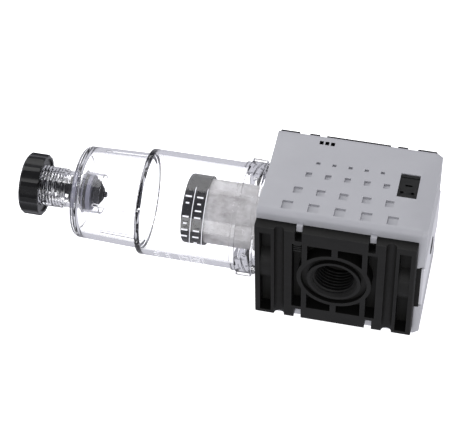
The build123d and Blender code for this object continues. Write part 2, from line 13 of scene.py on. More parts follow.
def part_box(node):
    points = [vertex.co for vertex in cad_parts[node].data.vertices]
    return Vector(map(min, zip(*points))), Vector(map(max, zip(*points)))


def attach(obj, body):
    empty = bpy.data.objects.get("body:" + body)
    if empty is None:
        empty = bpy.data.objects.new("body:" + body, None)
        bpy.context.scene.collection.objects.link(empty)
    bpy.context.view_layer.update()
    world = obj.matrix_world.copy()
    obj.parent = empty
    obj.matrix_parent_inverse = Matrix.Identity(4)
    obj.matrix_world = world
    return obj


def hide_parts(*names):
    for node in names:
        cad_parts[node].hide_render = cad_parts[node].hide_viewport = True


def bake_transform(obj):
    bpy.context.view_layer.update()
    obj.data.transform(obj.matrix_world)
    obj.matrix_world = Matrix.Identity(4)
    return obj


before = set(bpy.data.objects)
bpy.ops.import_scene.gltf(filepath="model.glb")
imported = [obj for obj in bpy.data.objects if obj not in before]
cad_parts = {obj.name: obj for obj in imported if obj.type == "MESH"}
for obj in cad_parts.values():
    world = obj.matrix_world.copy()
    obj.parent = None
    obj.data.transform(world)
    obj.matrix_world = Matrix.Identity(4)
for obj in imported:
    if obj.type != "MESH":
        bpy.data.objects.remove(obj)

LOG = logging.getLogger("filter_module")
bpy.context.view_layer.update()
MM = 0.001
X_AXIS = (1.0, 0.0, 0.0)
SAME_SPOT = 1e-6  # vertices closer than this many metres are one vertex
FLAT = 0.5  # faces that meet within this many degrees are one flat face
SHARP = 35.0  # edges sharper than this many degrees get a moulded radius

Point = Tuple[float, float]
Place = Tuple[float, float, float]
Colour = Tuple[float, float, float]

# The bowl axis runs along X at this height, through the middle of the turned stem.
STEM_LOW, STEM_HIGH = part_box("drain_stem")
AXIS_Z = (STEM_LOW.z + STEM_HIGH.z) / 2


# ---------------------------------------------------------------- bench work: selection, editing, turning


class Face(Enum):
    """Ways to shade a finished mesh: edges sharper than this many degrees stay sharp."""

    SMOOTH = 32.0
    CRISP = 22.0


def clear_selection() -> None:
    """Leave object mode ready, with nothing selected."""
    if bpy.context.object is not None and bpy.context.object.mode != "OBJECT":
        bpy.ops.object.mode_set(mode="OBJECT")
    bpy.ops.object.select_all(action="DESELECT")


def pick(piece: bpy.types.Object) -> None:
    """Select one object alone and make it active."""
    clear_selection()
    piece.select_set(True)
    bpy.context.view_layer.objects.active = piece


def start(name: str, primitive: Callable, **size: object) -> bpy.types.Object:
    """Add a primitive with nothing else selected.

    Args:
        name: the new object's name.
        primitive: a bpy.ops.mesh primitive operator.
        **size: the operator's own settings.

    Returns:
        The new object.
    """
    clear_selection()
    primitive(**size)
    piece = bpy.context.object
    piece.name = name
    piece.data.name = name
    return piece


@contextmanager
def editing(piece: bpy.types.Object) -> Iterator[None]:
    """Enter edit mode on one object and come out again."""
    pick(piece)
    bpy.ops.object.mode_set(mode="EDIT")
    try:
        yield
    finally:
        bpy.ops.object.mode_set(mode="OBJECT")


def finish_modifier(piece: bpy.types.Object, kind: str, **settings: object) -> None:
    """Add one modifier with its settings and apply it."""
    modifier = piece.modifiers.new(kind.lower(), kind)
    for name, value in settings.items():
        setattr(modifier, name, value)
    pick(piece)
    bpy.ops.object.modifier_apply(modifier=modifier.name)


def seat(piece: bpy.types.Object) -> None:
    """Move the object's place into its mesh, so that the object sits at the origin."""
    pick(piece)
    bpy.ops.object.transform_apply(location=True, rotation=True, scale=True)


def shade(piece: bpy.types.Object, face: Face = Face.SMOOTH) -> None:
    """Shade smooth below the face's angle and sharp above it."""
    pick(piece)
    bpy.ops.object.shade_smooth_by_angle(angle=math.radians(face.value))


def weld(piece: bpy.types.Object, reach: float = SAME_SPOT) -> None:
    """Merge doubled vertices and turn every face outwards."""
    with editing(piece):
        bpy.ops.mesh.select_all(action="SELECT")
        bpy.ops.mesh.remove_doubles(threshold=reach)
        bpy.ops.mesh.normals_make_consistent(inside=False)


def rounded(corners: Sequence[Tuple[float, float, float]], steps: int = 5) -> List[Point]:
    """Round the corners of a closed outline.

    Args:
        corners: (x, radius from the axis, corner radius) of each corner, all in millimetres.
        steps: points on each rounded corner.

    Returns:
        The outline's points in order, in millimetres.
    """
    outline: List[Point] = []
    for index, (x, r, corner) in enumerate(corners):
        here = Vector((x, r))
        if corner <= 0:
            outline.append((x, r))
            continue
        before = Vector(corners[index - 1][:2]) - here
        after = Vector(corners[(index + 1) % len(corners)][:2]) - here
        half = before.angle(after) / 2
        reach = min(corner / math.tan(half), 0.48 * before.length, 0.48 * after.length)
        radius = reach * math.tan(half)
        centre = here + (before.normalized() + after.normalized()).normalized() * (radius / math.sin(half))
        first = here + before.normalized() * reach - centre
        turn = first.angle_signed(here + after.normalized() * reach - centre)
        for step in range(steps + 1):
            angle = -turn * step / steps
            spoke = Matrix.Rotation(angle, 2) @ first
            outline.append((centre.x + spoke.x, centre.y + spoke.y))
    return outline


def turned(
    name: str, outline: Sequence[Point], steps: int, arc: float = 360.0, first: float = 0.0
) -> bpy.types.Object:
    """Turn a closed outline about the bowl axis.

    Args:
        name: the new object's name.
        outline: (x, radius) points in millimetres.
        steps: faces round the turn.
        arc: angle of the turn in degrees; under 360 leaves two flat ends.
        first: where the turn starts, in degrees from +Y towards +Z.

    Returns:
        A closed mesh, at the origin.
    """
    piece = start(name, bpy.ops.mesh.primitive_plane_add, size=MM, location=(0, 0, 0))
    begin = math.radians(first)
    spoke = Vector((0, math.cos(begin), math.sin(begin)))
    spots = [Vector((x * MM, 0, AXIS_Z)) + spoke * (r * MM) for x, r in outline]
    with editing(piece):
        bpy.context.tool_settings.mesh_select_mode = (True, False, False)
        bpy.ops.mesh.select_all(action="SELECT")
        bpy.ops.mesh.merge(type="CENTER")
        bpy.ops.transform.translate(value=spots[0])
        for here, there in zip(spots, spots[1:]):
            bpy.ops.mesh.extrude_region_move(TRANSFORM_OT_translate={"value": there - here})
        bpy.ops.mesh.select_all(action="SELECT")
        bpy.ops.mesh.edge_face_add()
        if arc >= 360.0:
            bpy.ops.mesh.delete(type="ONLY_FACE")
            bpy.ops.mesh.select_all(action="SELECT")
        # A spin turns against the right-hand rule, so a part turn needs a negative angle to follow it
        bpy.ops.mesh.spin(
            steps=steps, angle=-math.radians(arc), use_auto_merge=False, center=(0, 0, AXIS_Z), axis=X_AXIS
        )
    weld(piece)
    return piece


def box_outline(span: Point, radii: Point) -> List[Point]:
    """A rectangle to turn, from its low and high x and its inner and outer radius."""
    return [(span[0], radii[0]), (span[1], radii[0]), (span[1], radii[1]), (span[0], radii[1])]


def join(name: str, pieces: Sequence[bpy.types.Object]) -> bpy.types.Object:
    """Join separate meshes into one object of several solids."""
    clear_selection()
    for piece in pieces:
        piece.select_set(True)
    bpy.context.view_layer.objects.active = pieces[0]
    bpy.ops.object.join()
    whole = bpy.context.object
    whole.name = name
    whole.data.name = name
    return whole


def polar(point: Vector) -> Tuple[float, float]:
    """Radius from the bowl axis, and angle from +Y towards +Z in radians."""
    return math.hypot(point.y, point.z - AXIS_Z), math.atan2(point.z - AXIS_Z, point.y)


def set_radius(point: Vector, radius: float) -> None:
    """Move a point straight out from the bowl axis, or in, to a radius in metres."""
    scale = radius / polar(point)[0]
    point.y *= scale
    point.z = AXIS_Z + (point.z - AXIS_Z) * scale


def softened(node: str, width: float) -> bpy.types.Object:
    """Copy a CAD node's mesh and give its sharp edges a small moulded radius.

    Args:
        node: the CAD node, which the copy replaces.
        width: the bevel's width in millimetres.

    Returns:
        The finished copy.
    """
    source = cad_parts[node]
    piece = bpy.data.objects.new(node + "_moulded", source.data.copy())
    bpy.context.scene.collection.objects.link(piece)
    piece.data.materials.clear()
    pick(piece)
    bpy.ops.mesh.customdata_custom_splitnormals_clear()
    with editing(piece):
        bpy.ops.mesh.select_all(action="SELECT")
        bpy.ops.mesh.remove_doubles(threshold=SAME_SPOT)
        bpy.ops.mesh.dissolve_limited(angle_limit=math.radians(FLAT))
    finish_modifier(
        piece,
        "BEVEL",
        width=width * MM,
        segments=2,
        limit_method="ANGLE",
        angle_limit=math.radians(SHARP),
        use_clamp_overlap=True,
        miter_outer="MITER_ARC",
    )
    finish_modifier(piece, "TRIANGULATE")
    shade(piece, Face.SMOOTH)
    finish_modifier(piece, "WEIGHTED_NORMAL", keep_sharp=True)
    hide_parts(node)
    return piece


# ---------------------------------------------------------------- material work


class Wiring:
    """Adds and joins the nodes of one node tree."""

    def __init__(self, tree: bpy.types.NodeTree) -> None:
        """Take the tree to work on."""
        self.tree = tree

    def add(self, kind: str, **settings: object) -> bpy.types.Node:
        """Add a node and set its properties."""
        node = self.tree.nodes.new(kind)
        for name, value in settings.items():
            setattr(node, name, value)
        return node

    def feed(self, socket: bpy.types.NodeSocket, value: object) -> None:
        """Link another node's output to a socket, or set the socket's own value."""
        if isinstance(value, bpy.types.NodeSocket):
            self.tree.links.new(value, socket)
        elif value is not None:
            socket.default_value = value

    def maths(self, operation: str, first: object, second: object = None, clamp: bool = False) -> bpy.types.NodeSocket:
        """One arithmetic step; each argument is a number or another node's output."""
        node = self.add("ShaderNodeMath", operation=operation, use_clamp=clamp)
        self.feed(node.inputs[0], first)
        self.feed(node.inputs[1], second)
        return node.outputs[0]

    def blend(self, share: object, first: object, second: object, way: str = "MIX") -> bpy.types.NodeSocket:
        """Mix two colours."""
        node = self.add("ShaderNodeMix", data_type="RGBA", blend_type=way)
        self.feed(node.inputs[0], share)
        self.feed(node.inputs[6], first)
        self.feed(node.inputs[7], second)
        return node.outputs[2]

    def span(self, value: object, low: float, high: float, to_low: object, to_high: object) -> bpy.types.NodeSocket:
        """Map a value from one range to another, held at both ends."""
        node = self.add("ShaderNodeMapRange", clamp=True)
        for socket, number in zip(node.inputs, (value, low, high, to_low, to_high)):
            self.feed(socket, number)
        return node.outputs[0]

    def place(self, scale: object = 1.0, stretch: Place = (1, 1, 1)) -> bpy.types.NodeSocket:
        """Object coordinates, scaled, with a stretch along each axis."""
        coordinates = self.add("ShaderNodeTexCoord")
        stretched = self.add("ShaderNodeVectorMath", operation="MULTIPLY")
        self.feed(stretched.inputs[0], coordinates.outputs["Object"])
        stretched.inputs[1].default_value = stretch
        scaled = self.add("ShaderNodeVectorMath", operation="SCALE")
        self.feed(scaled.inputs[0], stretched.outputs[0])
        self.feed(scaled.inputs["Scale"], scale)
        return scaled.outputs[0]

    def cloud(self, where: object, size: float, detail: float = 2.0, rough: float = 0.5) -> bpy.types.NodeSocket:
        """Noise with features of about the given size, which is in the place's own units."""
        node = self.add("ShaderNodeTexNoise")
        self.feed(node.inputs["Vector"], where)
        node.inputs["Scale"].default_value = 1.0 / size
        node.inputs["Detail"].default_value = detail
        node.inputs["Roughness"].default_value = rough
        return node.outputs["Fac"]


class EffectKit:
    """Builds each shared effect once, as a node group."""

    def __init__(self) -> None:
        """Build the groups."""
        self.grain = self._grain()
        self.mottle = self._mottle()
        self.soft_edge = self._soft_edge()
        self.handling = self._handling()

    @staticmethod
    def _group(name: str, inputs: Dict[str, Tuple[str, object]], outputs: Dict[str, str]) -> Tuple:
        """Make a group with its sockets.

        Args:
            name: the group's name.
            inputs: socket name to (socket type, default).
            outputs: socket name to socket type.

        Returns:
            The group, its wiring, its input node and its output node.
        """
        group = bpy.data.node_groups.new(name, "ShaderNodeTree")
        for label, (kind, default) in inputs.items():
            socket = group.interface.new_socket(name=label, in_out="INPUT", socket_type=kind)
            socket.default_value = default
        for label, kind in outputs.items():
            group.interface.new_socket(name=label, in_out="OUTPUT", socket_type=kind)
        wiring = Wiring(group)
        return group, wiring, wiring.add("NodeGroupInput"), wiring.add("NodeGroupOutput")

    def _grain(self) -> bpy.types.NodeTree:
        """The fine spark-eroded texture of a mould: rounded pits with a finer noise over them."""
        group, wires, inside, out = self._group(
            "mould_grain",
            {"Pit Size": ("NodeSocketFloat", 0.0004), "Fine Share": ("NodeSocketFloat", 0.4)},
            {"Height": "NodeSocketFloat"},
        )
        where = wires.place(wires.maths("DIVIDE", 1.0, inside.outputs["Pit Size"]))
        pits = wires.add("ShaderNodeTexVoronoi", feature="SMOOTH_F1")
        wires.feed(pits.inputs["Vector"], where)
        pits.inputs["Scale"].default_value = 1.0
        pits.inputs["Smoothness"].default_value = 0.6
        fine = wires.cloud(where, 0.55, 3.0, 0.6)
        mixed = wires.maths(
            "ADD", pits.outputs["Distance"], wires.maths("MULTIPLY", fine, inside.outputs["Fine Share"])
        )
        wires.feed(out.inputs["Height"], mixed)
        return group

    def _mottle(self) -> bpy.types.NodeTree:
        """Slow unevenness of tone in a moulded colour."""
        group, wires, inside, out = self._group(
            "tone_mottle",
            {
                "Colour": ("NodeSocketColor", (0.5, 0.5, 0.5, 1)),
                "Patch Size": ("NodeSocketFloat", 0.012),
                "Spread": ("NodeSocketFloat", 0.06),
            },
            {"Colour": "NodeSocketColor"},
        )
        where = wires.place(wires.maths("DIVIDE", 1.0, inside.outputs["Patch Size"]))
        patches = wires.cloud(where, 1.0, 3.0, 0.55)
        spread = inside.outputs["Spread"]
        low = wires.maths("SUBTRACT", 1.0, spread)
        high = wires.maths("ADD", 1.0, spread)
        scaled = wires.add("ShaderNodeVectorMath", operation="SCALE")
        wires.feed(scaled.inputs[0], inside.outputs["Colour"])
        wires.feed(scaled.inputs["Scale"], wires.span(patches, 0.3, 0.7, low, high))
        wires.feed(out.inputs["Colour"], scaled.outputs[0])
        return group

    def _soft_edge(self) -> bpy.types.NodeTree:
        """How near a point is to an outer edge, broken up by noise: 0 on the flat, 1 on the edge."""
        group, wires, inside, out = self._group(
            "outer_edge_share",
            {"Reach": ("NodeSocketFloat", 0.0004), "Break Up": ("NodeSocketFloat", 0.5)},
            {"Edge": "NodeSocketFloat"},
        )
        bevel = wires.add("ShaderNodeBevel", samples=4)
        wires.feed(bevel.inputs["Radius"], inside.outputs["Reach"])
        geometry = wires.add("ShaderNodeNewGeometry")
        match = wires.add("ShaderNodeVectorMath", operation="DOT_PRODUCT")
        wires.feed(match.inputs[0], bevel.outputs[0])
        wires.feed(match.inputs[1], geometry.outputs["Normal"])
        edge = wires.span(match.outputs["Value"], 0.99, 0.8, 0.0, 1.0)
        patches = wires.cloud(wires.place(), 0.003, 3.0)
        kept = wires.span(patches, 0.35, 0.6, wires.maths("SUBTRACT", 1.0, inside.outputs["Break Up"]), 1.0)
        wires.feed(out.inputs["Edge"], wires.maths("MULTIPLY", edge, kept, clamp=True))
        return group

    def _handling(self) -> bpy.types.NodeTree:
        """Faint rubs and dust that change the gloss."""
        group, wires, inside, out = self._group(
            "handling_marks",
            {"Roughness": ("NodeSocketFloat", 0.5), "Change": ("NodeSocketFloat", 0.08)},
            {"Roughness": "NodeSocketFloat"},
        )
        broad = wires.cloud(wires.place(), 0.018, 2.0)
        rubs = wires.cloud(wires.place(1.0, (1.0, 6.0, 3.0)), 0.006, 4.0, 0.65)
        both = wires.maths("MULTIPLY", broad, rubs)
        shifted = wires.maths("MULTIPLY", wires.span(both, 0.15, 0.4, -1.0, 1.0), inside.outputs["Change"])
        wires.feed(out.inputs["Roughness"], wires.maths("ADD", inside.outputs["Roughness"], shifted, clamp=True))
        return group


EFFECTS = EffectKit()


def use(wires: Wiring, group: bpy.types.NodeTree, **values: object) -> bpy.types.Node:
    """Place a shared effect in a material.

    Args:
        wires: the material's wiring.
        group: the shared effect.
        **values: input name, with underscores for spaces, to a value or an output.

    Returns:
        The group's node.
    """
    node = wires.add("ShaderNodeGroup", node_tree=group)
    for name, value in values.items():
        wires.feed(node.inputs[name.replace("_", " ")], value)
    return node


def fresh_material(name: str) -> Tuple[bpy.types.Material, Wiring, bpy.types.Node, bpy.types.Node]:
    """A new node material: itself, its wiring, its Principled shader and its output."""
    material = bpy.data.materials.new(name)
    material.use_nodes = True
    tree = material.node_tree
    shader = next(node for node in tree.nodes if node.type == "BSDF_PRINCIPLED")
    output = next(node for node in tree.nodes if node.type == "OUTPUT_MATERIAL")
    return material, Wiring(tree), shader, output


@dataclass(frozen=True)
class Moulding:
    """An opaque moulded plastic or rubber with the mould's grain. Pit size and depth are in millimetres."""

    name: str
    colour: Colour
    roughness: float
    specular: float
    pit: float
    depth: float
    spread: float
    edge_tint: float = 0.0
    glow: float = 0.0

    def build(self) -> bpy.types.Material:
        """Make the material."""
        material, wires, shader, _ = fresh_material(self.name)
        base = use(wires, EFFECTS.mottle, Colour=(*self.colour, 1), Patch_Size=0.014, Spread=self.spread)
        grain = use(wires, EFFECTS.grain, Pit_Size=self.pit * MM, Fine_Share=0.45)
        marks = use(wires, EFFECTS.handling, Roughness=self.roughness, Change=0.07)
        edge = use(wires, EFFECTS.soft_edge, Reach=0.45 * MM, Break_Up=0.5)
        pale = tuple(min(1.0, channel * 1.6 + 0.03) for channel in self.colour)
        # The colour turns paler towards outer edges, by edge_tint, in patches
        edge_paled = wires.blend(
            wires.maths("MULTIPLY", edge.outputs["Edge"], self.edge_tint), base.outputs["Colour"], (*pale, 1)
        )
        wires.feed(shader.inputs["Base Color"], edge_paled)
        wires.feed(shader.inputs["Roughness"], marks.outputs["Roughness"])
        bump = wires.add("ShaderNodeBump")
        bump.inputs["Distance"].default_value = self.depth * MM
        bump.inputs["Strength"].default_value = 0.6
        wires.feed(bump.inputs["Height"], grain.outputs["Height"])
        wires.feed(shader.inputs["Normal"], bump.outputs[0])
        shader.inputs["Specular IOR Level"].default_value = self.specular
        # Painted light: a glow above 0 makes the material shine in its own colour, though it is no lamp
        shader.inputs["Emission Color"].default_value = (*self.colour, 1)
        shader.inputs["Emission Strength"].default_value = self.glow
        return material


@dataclass(frozen=True)
class ClearMoulding:
    """Clear polycarbonate, which shadow rays pass straight through."""

    name: str
    tint: Colour = (0.985, 0.985, 1.0)
    index: float = 1.42
    roughness: float = 0.012
    shadow: float = 0.94

    def build(self) -> bpy.types.Material:
        """Make the material."""
        material, wires, shader, output = fresh_material(self.name)
        waves = wires.cloud(wires.place(), 0.011, 1.0, 0.4)
        tint = wires.blend(wires.span(waves, 0.3, 0.7, 0.0, 1.0), (*self.tint, 1), (1.0, 1.0, 1.0, 1))
        wires.feed(shader.inputs["Base Color"], tint)
        streaks = wires.cloud(wires.place(1.0, (0.25, 1.0, 1.0)), 0.009, 2.0, 0.5)
        wires.feed(shader.inputs["Roughness"], wires.span(streaks, 0.3, 0.8, self.roughness, 3.0 * self.roughness))
        shader.inputs["IOR"].default_value = self.index
        shader.inputs["Transmission Weight"].default_value = 1.0
        bump = wires.add("ShaderNodeBump")
        bump.inputs["Distance"].default_value = 0.02 * MM
        bump.inputs["Strength"].default_value = 0.25
        wires.feed(bump.inputs["Height"], waves)
        wires.feed(shader.inputs["Normal"], bump.outputs[0])
        passing = wires.add("ShaderNodeBsdfTransparent")
        passing.inputs["Color"].default_value = (self.shadow, self.shadow, self.shadow, 1)
        rays = wires.add("ShaderNodeLightPath")
        mixed = wires.add("ShaderNodeMixShader")
        wires.feed(mixed.inputs[0], rays.outputs["Is Shadow Ray"])
        wires.feed(mixed.inputs[1], shader.outputs[0])
        wires.feed(mixed.inputs[2], passing.outputs[0])
        wires.feed(output.inputs["Surface"], mixed.outputs[0])
        return material


@dataclass(frozen=True)
class Sintered:
    """Porous plastic of fused grains, with drifts of grey and beige."""

    name: str
    pale: Colour = (0.60, 0.595, 0.60)
    deep: Colour = (0.30, 0.285, 0.285)

    def build(self) -> bpy.types.Material:
        """Make the material."""
        material, wires, shader, _ = fresh_material(self.name)
        drifts = wires.cloud(wires.place(1.0, (0.7, 1.0, 1.0)), 0.006, 5.0, 0.62)
        grains = wires.add("ShaderNodeTexVoronoi")
        wires.feed(grains.inputs["Vector"], wires.place())
        grains.inputs["Scale"].default_value = 1.0 / (0.32 * MM)
        tone = wires.maths(
            "ADD",
            wires.span(drifts, 0.36, 0.66, 0.0, 0.8),
            wires.span(grains.outputs["Distance"], 0.2, 0.8, 0.0, 0.25),
        )
        wires.feed(shader.inputs["Base Color"], wires.blend(tone, (*self.pale, 1), (*self.deep, 1)))
        wires.feed(shader.inputs["Roughness"], wires.span(drifts, 0.2, 0.8, 0.8, 0.95))
        bump = wires.add("ShaderNodeBump", invert=True)
        bump.inputs["Distance"].default_value = 0.09 * MM
        bump.inputs["Strength"].default_value = 0.8
        wires.feed(bump.inputs["Height"], grains.outputs["Distance"])
        wires.feed(shader.inputs["Normal"], bump.outputs[0])
        return material


@dataclass(frozen=True)
class DrawnMetal:
    """Bright drawn or rolled metal with fine lines along X."""

    name: str
    colour: Colour = (0.62, 0.62, 0.63)
    roughness: float = 0.28

    def build(self) -> bpy.types.Material:
        """Make the material."""
        material, wires, shader, _ = fresh_material(self.name)
        lines = wires.cloud(wires.place(1.0, (0.1, 1.0, 1.0)), 0.0006, 3.0, 0.6)
        dull = tuple(channel * 0.8 for channel in self.colour)
        wires.feed(shader.inputs["Base Color"], wires.blend(lines, (*self.colour, 1), (*dull, 1)))
        wires.feed(
            shader.inputs["Roughness"], wires.span(lines, 0.25, 0.75, self.roughness, self.roughness + 0.15)
        )
        shader.inputs["Metallic"].default_value = 1.0
        bump = wires.add("ShaderNodeBump")
        bump.inputs["Distance"].default_value = 0.004 * MM
        wires.feed(bump.inputs["Height"], lines)
        wires.feed(shader.inputs["Normal"], bump.outputs[0])
        return material


@dataclass(frozen=True)
class Backdrop:
    """Pale paper, lit through from below so that shadows on it fade, with little of that light thrown back up."""

    name: str
    colour: Colour = (0.93, 0.93, 0.93)
    glow: float = 0.9
    bounce: Colour = (0.60, 0.60, 0.66)

    def build(self) -> bpy.types.Material:
        """Make the material."""
        material, wires, shader, output = fresh_material(self.name)
        tooth = wires.cloud(wires.place(), 0.02, 2.0)
        soft = tuple(channel * 0.99 for channel in self.colour)
        wires.feed(shader.inputs["Base Color"], wires.blend(tooth, (*self.colour, 1), (*soft, 1)))
        shader.inputs["Roughness"].default_value = 0.95
        shader.inputs["Specular IOR Level"].default_value = 0.05
        shader.inputs["Emission Color"].default_value = (1, 1, 1, 1)
        shader.inputs["Emission Strength"].default_value = self.glow
        dim = wires.add("ShaderNodeEmission")
        dim.inputs["Color"].default_value = (*self.bounce, 1)
        rays = wires.add("ShaderNodeLightPath")
        mixed = wires.add("ShaderNodeMixShader")
        bounced = wires.maths("ADD", rays.outputs["Diffuse Depth"], rays.outputs["Glossy Depth"], clamp=True)
        wires.feed(mixed.inputs[0], bounced)
        wires.feed(mixed.inputs[1], shader.outputs[0])
        wires.feed(mixed.inputs[2], dim.outputs[0])
        wires.feed(output.inputs["Surface"], mixed.outputs[0])
        return material


class Finishes:
    """Every finish of the module, built once."""

    def __init__(self) -> None:
        """Build the materials."""
        self.housing = Moulding(
            name="housing_black",
            colour=(0.0095, 0.0093, 0.0082),
            roughness=0.55,
            specular=0.2,
            pit=0.3,
            depth=0.014,
            spread=0.1,
            edge_tint=0.55,
        ).build()
        self.cover = Moulding(
            name="cover_grey",
            colour=(0.445, 0.447, 0.462),
            roughness=0.5,
            specular=0.42,
            pit=0.34,
            depth=0.012,
            spread=0.02,
            edge_tint=0.1,
        ).build()
        self.cap = Moulding(
            name="cap_grey",
            colour=(0.68, 0.68, 0.70),
            roughness=0.36,
            specular=0.5,
            pit=0.3,
            depth=0.006,
            spread=0.02,
            edge_tint=0.1,
        ).build()
        self.trim = Moulding(
            name="trim_black",
            colour=(0.005, 0.005, 0.005),
            roughness=0.4,
            specular=0.18,
            pit=0.22,
            depth=0.004,
            spread=0.1,
            edge_tint=0.4,
        ).build()
        self.knob = Moulding(
            name="knob_black",
            colour=(0.0045, 0.0045, 0.0042),
            roughness=0.26,
            specular=0.32,
            pit=0.28,
            depth=0.009,
            spread=0.12,
            edge_tint=0.5,
        ).build()
        self.inner = Moulding(
            name="internal_black",
            colour=(0.009, 0.009, 0.0095),
            roughness=0.45,
            specular=0.22,
            pit=0.25,
            depth=0.004,
            spread=0.1,
            edge_tint=0.2,
        ).build()
        self.core = Moulding(
            name="core_grey",
            colour=(0.20, 0.20, 0.25),
            roughness=0.5,
            specular=0.5,
            pit=0.25,
            depth=0.006,
            spread=0.05,
        ).build()
        self.rubber = Moulding(
            name="seal_rubber",
            colour=(0.012, 0.012, 0.012),
            roughness=0.55,
            specular=0.4,
            pit=0.2,
            depth=0.01,
            spread=0.08,
        ).build()
        self.ink = Moulding(
            name="date_ink",
            colour=(0.045, 0.06, 0.10),
            roughness=0.6,
            specular=0.3,
            pit=0.2,
            depth=0.002,
            spread=0.1,
        ).build()
        self.frost = Moulding(
            name="frosted_marks",
            colour=(0.85, 0.85, 0.88),
            roughness=0.7,
            specular=0.4,
            pit=0.2,
            depth=0.006,
            spread=0.03,
            # painted light: the frosted marks glow a little, as if lit through from behind
            glow=0.35,
        ).build()
        self.clear = ClearMoulding("bowl_clear").build()
        self.sintered = Sintered("element_white").build()
        self.steel = DrawnMetal("spring_steel").build()

    def dress(self, piece: bpy.types.Object, material: bpy.types.Material) -> None:
        """Give a piece one material in every slot."""
        if not piece.data.materials:
            piece.data.materials.append(material)
        for index in range(len(piece.data.materials)):
            piece.data.materials[index] = material

    def dress_node(self, node: str, material: bpy.types.Material) -> None:
        """Give a carried-over CAD node its material."""
        self.dress(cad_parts[node], material)


def place_piece(piece: bpy.types.Object, body: str) -> None:
    """Fasten a finished piece to its body."""
    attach(piece, body)
    LOG.info("%s: %d faces, rides on %s", piece.name, len(piece.data.polygons), body)


def wind_thread(
    piece: bpy.types.Object, zone: Callable[[Vector], float], lift: Callable[[float, float], float]
) -> None:
    """Move the points of a turned surface in or out to form a helical thread.

    Args:
        piece: the turned mesh.
        zone: how far a point takes part, 0 to 1.
        lift: from (x, angle) of a point to the thread's radius there, in metres.
    """
    for vertex in piece.data.vertices:
        share = zone(vertex.co)
        if share <= 0:
            continue
        radius, angle = polar(vertex.co)
        set_radius(vertex.co, radius + (lift(vertex.co.x, angle) - radius) * share)
    piece.data.update()


def thread_wave(turn: float, crest: float, flank: float) -> float:
    """Height of a thread form, 0 at the root and 1 at the crest.

    Args:
        turn: place along the thread, in turns.
        crest: the flat crest's share of the pitch.
        flank: each sloping flank's share of the pitch.

    Returns:
        The height.
    """
    distance = abs((turn % 1.0) - 0.5) * 2.0
    return min(1.0, max(0.0, (1.0 - crest - distance) / (2 * flank) + 0.5))


# ---------------------------------------------------------------- housing


@dataclass
class Housing:
    """Body block, covers, end cap and the threads of both ports. Sizes in millimetres."""

    finishes: Finishes
    thread_pitch: float = 1.814
    thread_crest: float = 9.316
    thread_root: float = 10.44
    thread_depth: float = 15.1
    lead_in: float = 1.0
    sleeve_wall: float = 0.12
    steps: int = 96
    mark_place: Point = (-13.5, 20.6)
    mark_size: Tuple[float, float] = (1.9, 2.2)
    mark_pitch: float = 2.7
    mark_height: float = 0.04

    def build(self) -> None:
        """Build and dress the housing."""
        moulded = (
            ("body", 0.22, self.finishes.housing, "housing_black"),
            ("front_cover", 0.32, self.finishes.cover, "cover_grey"),
            ("rear_cover", 0.32, self.finishes.cover, "cover_grey"),
            ("top_cap", 0.15, self.finishes.cap, "cap_grey"),
            ("top_plug", 0.15, self.finishes.trim, "trim_black"),
            ("window_insert", 0.12, self.finishes.trim, "trim_black"),
        )
        for node, width, material, slot in moulded:
            piece = softened(node, width)
            self.finishes.dress(piece, material)
            place_piece(piece, "housing")
        for name, side in (("outlet_thread", -1), ("inlet_thread", 1)):
            self._port_thread(name, side)
        self._date_marks()

    def _port_thread(self, name: str, side: int) -> None:
        """Line one port's bore with its pipe thread.

        Args:
            name: the new piece's name.
            side: -1 for the outlet and 1 for the inlet.
        """
        low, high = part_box("body")
        mouth = (high.y if side > 0 else -low.y) / MM
        start_depth = mouth - self.lead_in
        end_depth = mouth - self.thread_depth
        rows = int((start_depth - end_depth) / (self.thread_pitch / 12))
        depth_step = (end_depth - start_depth) / rows
        outer = self.thread_root + self.sleeve_wall
        inner = [(start_depth + depth_step * row, self.thread_root) for row in range(rows + 1)]
        outline = [(start_depth, outer)] + inner + [(end_depth, outer)]
        sleeve = turned(name, outline, self.steps)
        fade = 0.8 * self.thread_pitch * MM
        limit = (self.thread_root + 0.3 * self.sleeve_wall) * MM
        first, last = end_depth * MM, start_depth * MM

        def zone(point: Vector) -> float:
            """The thread runs out at both ends and leaves the sleeve's outside alone."""
            if polar(point)[0] > limit:
                return 0.0
            return max(0.0, min(1.0, (last - point.x) / fade, (point.x - first) / (0.3 * fade)))

        def lift(x: float, angle: float) -> float:
            """Radius of the internal thread."""
            wave = thread_wave(x / (self.thread_pitch * MM) + angle / (2 * math.pi), 0.18, 0.32)
            return (self.thread_root - (self.thread_root - self.thread_crest) * wave) * MM

        wind_thread(sleeve, zone, lift)
        # The sleeve was turned about the bowl axis; a quarter turn lays it along the port axis
        pick(sleeve)
        sleeve.matrix_world = (
            Matrix.Translation((0, 0, AXIS_Z))
            @ Matrix.Rotation(math.radians(90 * side), 4, "Z")
            @ Matrix.Translation((0, 0, -AXIS_Z))
        )
        seat(sleeve)
        weld(sleeve)
        shade(sleeve)
        self.finishes.dress(sleeve, self.finishes.housing)
        place_piece(sleeve, "housing")

    def _date_marks(self) -> None:
        """Three small printed blocks near the inlet edge of the front cover, in place of a date stamp."""
        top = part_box("front_cover")[1].z
        blocks = []
        for index in range(3):
            x = (self.mark_place[0] + (index - 1) * self.mark_pitch) * MM
            block = start(
                f"date_block_{index}",
                bpy.ops.mesh.primitive_cube_add,
                size=1.0,
                location=(x, self.mark_place[1] * MM, top),
                scale=(self.mark_size[0] * MM, self.mark_size[1] * MM, self.mark_height * MM),
            )
            seat(block)
            with editing(block):
                bpy.ops.mesh.select_all(action="SELECT")
                bpy.ops.mesh.bevel(offset=0.25 * MM, segments=3, affect="VERTICES")
            blocks.append(block)
        marks = join("date_marks", blocks)
        for vertex in marks.data.vertices:
            vertex.co.z = min(vertex.co.z, top)
        self.finishes.dress(marks, self.finishes.ink)
        place_piece(marks, "housing")


# ---------------------------------------------------------------- filter stack


